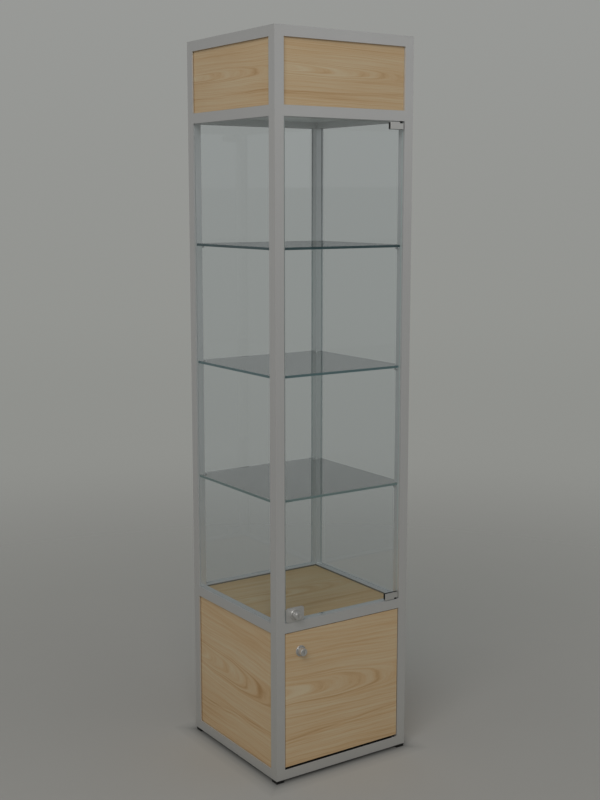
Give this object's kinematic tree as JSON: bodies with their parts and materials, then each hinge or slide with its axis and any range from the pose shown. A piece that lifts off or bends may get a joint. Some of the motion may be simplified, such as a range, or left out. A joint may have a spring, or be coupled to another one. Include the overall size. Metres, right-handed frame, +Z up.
{
  "type": "display case",
  "caption": "Tall square aluminium display case with a lockable glass door, glass shelves, a lockable wooden cupboard below and a wooden header box",
  "frame": {"origin": "middle of the footprint, on the floor", "axes": "+X to the right seen from the front, +Y to the back, +Z up; the doors are at -Y"},
  "size_m": [0.4, 0.418, 1.808],
  "materials": {
    "frame_aluminium": "satin anodised",
    "wood_panel": "satin lacquer, pale, with the grain across",
    "ceiling_grey": "matt",
    "clear_glass": "clear, pale ground edges",
    "shelf_glass": "clear, dark green edges",
    "grey_rubber": "matt, pale",
    "black_rubber": "matt",
    "black_plastic": "matt",
    "clear_plastic": "clear, glossy",
    "satin_nickel": "satin nickel plated",
    "zinc_steel": "zinc plated"
  },
  "bodies": {
    "frame": {"post_front_left": "frame_aluminium", "post_front_right": "frame_aluminium", "post_back_left": "frame_aluminium", "post_back_right": "frame_aluminium", "base_rail_front": "frame_aluminium", "base_rail_back": "frame_aluminium", "base_rail_left": "frame_aluminium", "base_rail_right": "frame_aluminium", "deck_rail_front": "frame_aluminium", "deck_rail_back": "frame_aluminium", "deck_rail_left": "frame_aluminium", "deck_rail_right": "frame_aluminium", "header_rail_front": "frame_aluminium", "header_rail_back": "frame_aluminium", "header_rail_left": "frame_aluminium", "header_rail_right": "frame_aluminium", "top_rail_front": "frame_aluminium", "top_rail_back": "frame_aluminium", "top_rail_left": "frame_aluminium", "top_rail_right": "frame_aluminium", "post_caps": "frame_aluminium", "feet": "black_plastic", "corner_connectors": "zinc_steel", "lower_panel_left": "wood_panel", "lower_panel_right": "wood_panel", "lower_panel_back": "wood_panel", "floor_board": "wood_panel", "deck_panel": "wood_panel", "header_panel_front": "wood_panel", "header_panel_back": "wood_panel", "header_panel_left": "wood_panel", "header_panel_right": "wood_panel", "ceiling_panel": "ceiling_grey", "top_panel": "wood_panel", "board_brackets": "zinc_steel", "pane_left": "clear_glass", "pane_right": "clear_glass", "pane_back": "clear_glass", "glazing_gaskets": "grey_rubber", "shelf_lower": "shelf_glass", "shelf_middle": "shelf_glass", "shelf_upper": "shelf_glass", "shelf_supports": "zinc_steel", "pivot_bushes": "black_plastic", "door_stops": "clear_plastic"},
    "glass_door_body": {"glass_door": "clear_glass", "hinge_clamps": "satin_nickel", "clamp_liners": "black_rubber", "glass_door_pins": "zinc_steel", "glass_lock_plate": "satin_nickel", "glass_lock_barrel": "satin_nickel", "glass_lock_nut": "zinc_steel"},
    "wood_door_body": {"wood_door": "wood_panel", "wood_door_pins": "zinc_steel", "wood_lock_barrel": "satin_nickel", "wood_lock_nut": "zinc_steel"},
    "glass_lock_turn": {"glass_lock_plug": "satin_nickel", "glass_lock_cam": "zinc_steel"},
    "wood_lock_turn": {"wood_lock_plug": "satin_nickel", "wood_lock_cam": "zinc_steel"}
  },
  "joints": [
    {"name": "glass_door_hinge", "type": "hinge", "parent": "frame", "child": "glass_door_body", "pos_m": [0.167, -0.196, 0.408], "axis": [0, 0, 1], "range_deg": [0, 110]},
    {"name": "wood_door_hinge", "type": "hinge", "parent": "frame", "child": "wood_door_body", "pos_m": [0.167, -0.195, 0.033], "axis": [0, 0, 1], "range_deg": [0, 110]},
    {"name": "glass_lock_key_turn", "type": "hinge", "parent": "glass_door_body", "child": "glass_lock_turn", "pos_m": [-0.146, -0.2, 0.427], "axis": [0, -1, 0], "range_deg": [0, 90]},
    {"name": "wood_lock_key_turn", "type": "hinge", "parent": "wood_door_body", "child": "wood_lock_turn", "pos_m": [-0.129, -0.2, 0.331], "axis": [0, -1, 0], "range_deg": [0, 90]}
  ]
}
